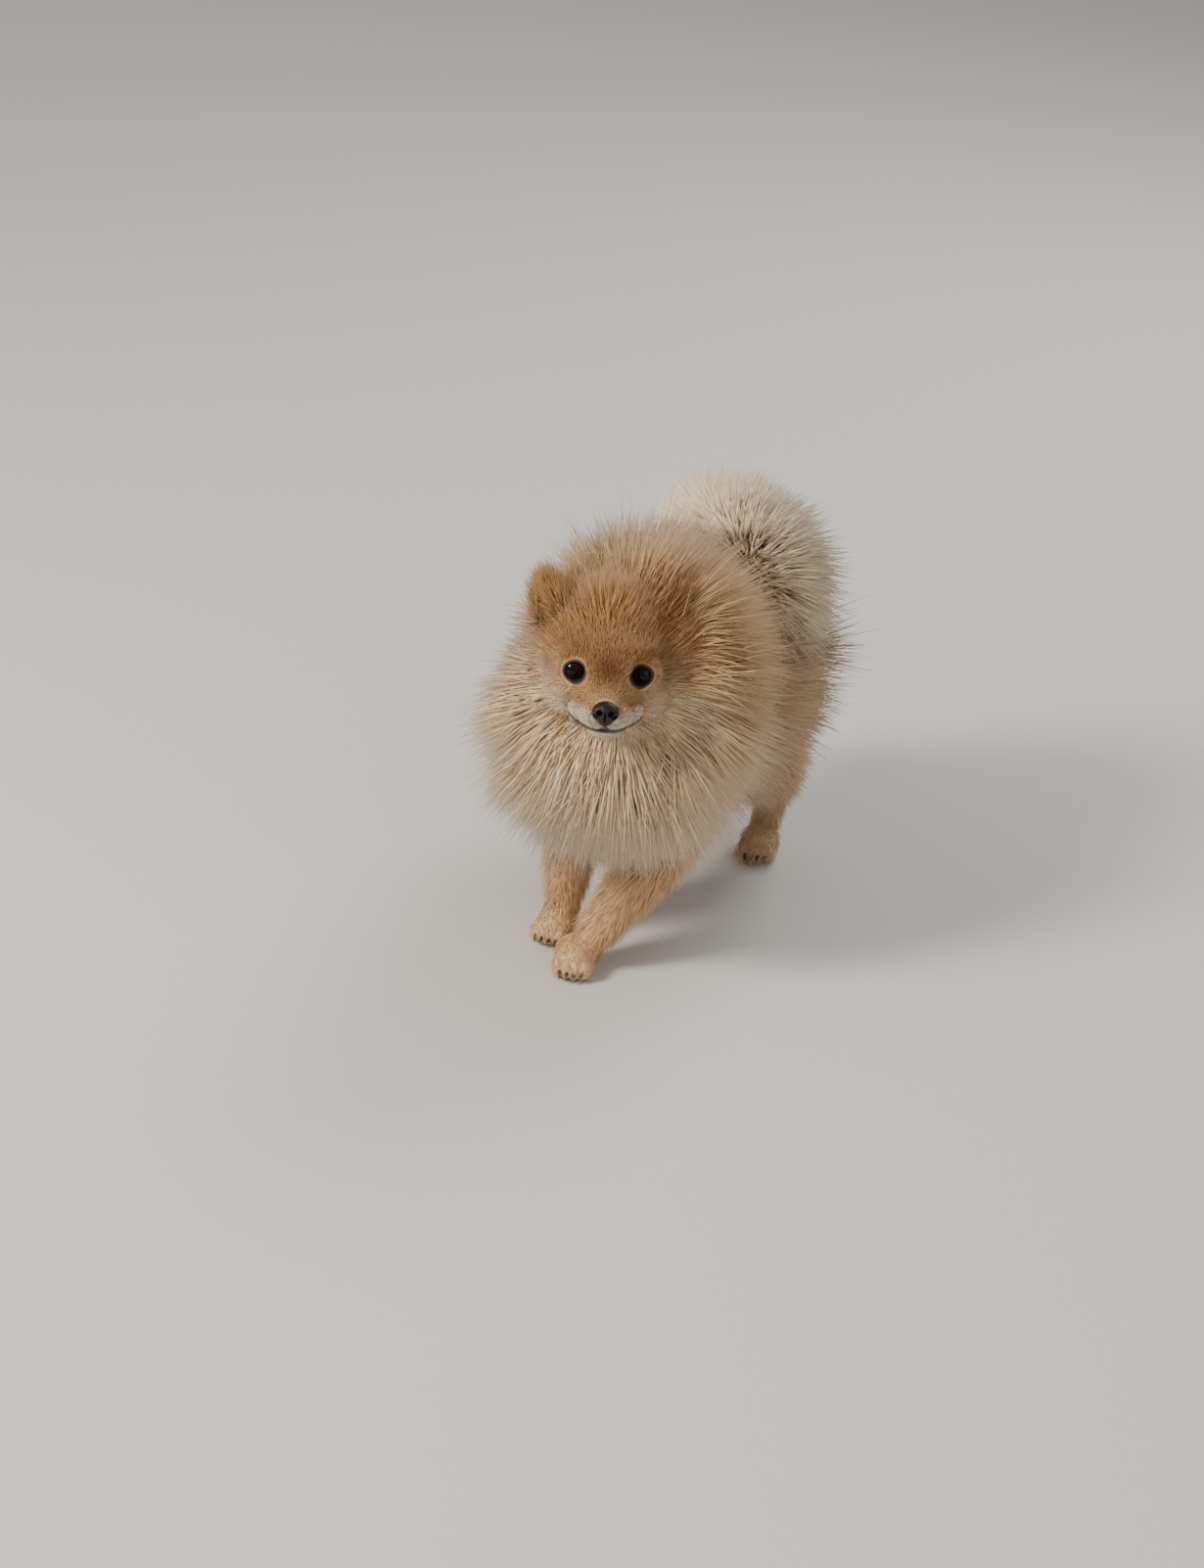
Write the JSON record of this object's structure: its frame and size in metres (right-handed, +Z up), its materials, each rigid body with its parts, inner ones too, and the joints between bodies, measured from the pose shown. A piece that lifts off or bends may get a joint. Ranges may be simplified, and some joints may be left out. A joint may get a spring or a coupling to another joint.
{
  "type": "pomeranian dog model",
  "caption": "Life-size still model of a walking pomeranian with a stand-off coat, a round ruff and a plumed tail carried over the back.",
  "frame": {"origin": "on the floor, under the middle of the model's bounding box", "axes": "+Z up; the dog walks towards -Y; +X is the dog's left side"},
  "size_m": [0.1892, 0.301, 0.2516],
  "materials": {
    "eye": "wet dark brown eye, clear gloss over a nearly black iris",
    "nose_leather": "dark brown-black nose leather, finely pebbled, slightly moist",
    "orange_coat": "soft dense orange-gold fur, dull sheen",
    "cream_coat": "long soft cream ruff fur, paler on the chest",
    "sand_coat": "long stand-off sandy fur with darker tips",
    "white_coat": "long silky cream-white plume fur",
    "apricot_coat": "short plush apricot leg fur"
  },
  "bodies": {
    "root": {"eye_left": "eye", "eye_right": "eye", "nose": "nose_leather", "head": "orange_coat", "ear_left": "orange_coat", "ear_right": "orange_coat", "neck": "cream_coat", "torso": "sand_coat", "tail": "white_coat", "foreleg_left": "apricot_coat", "forefoot_left": "apricot_coat", "foreleg_right": "apricot_coat", "forefoot_right": "apricot_coat", "hindleg_left": "sand_coat", "hindfoot_left": "apricot_coat", "hindleg_right": "sand_coat", "hindfoot_right": "apricot_coat"}
  },
  "joints": []
}
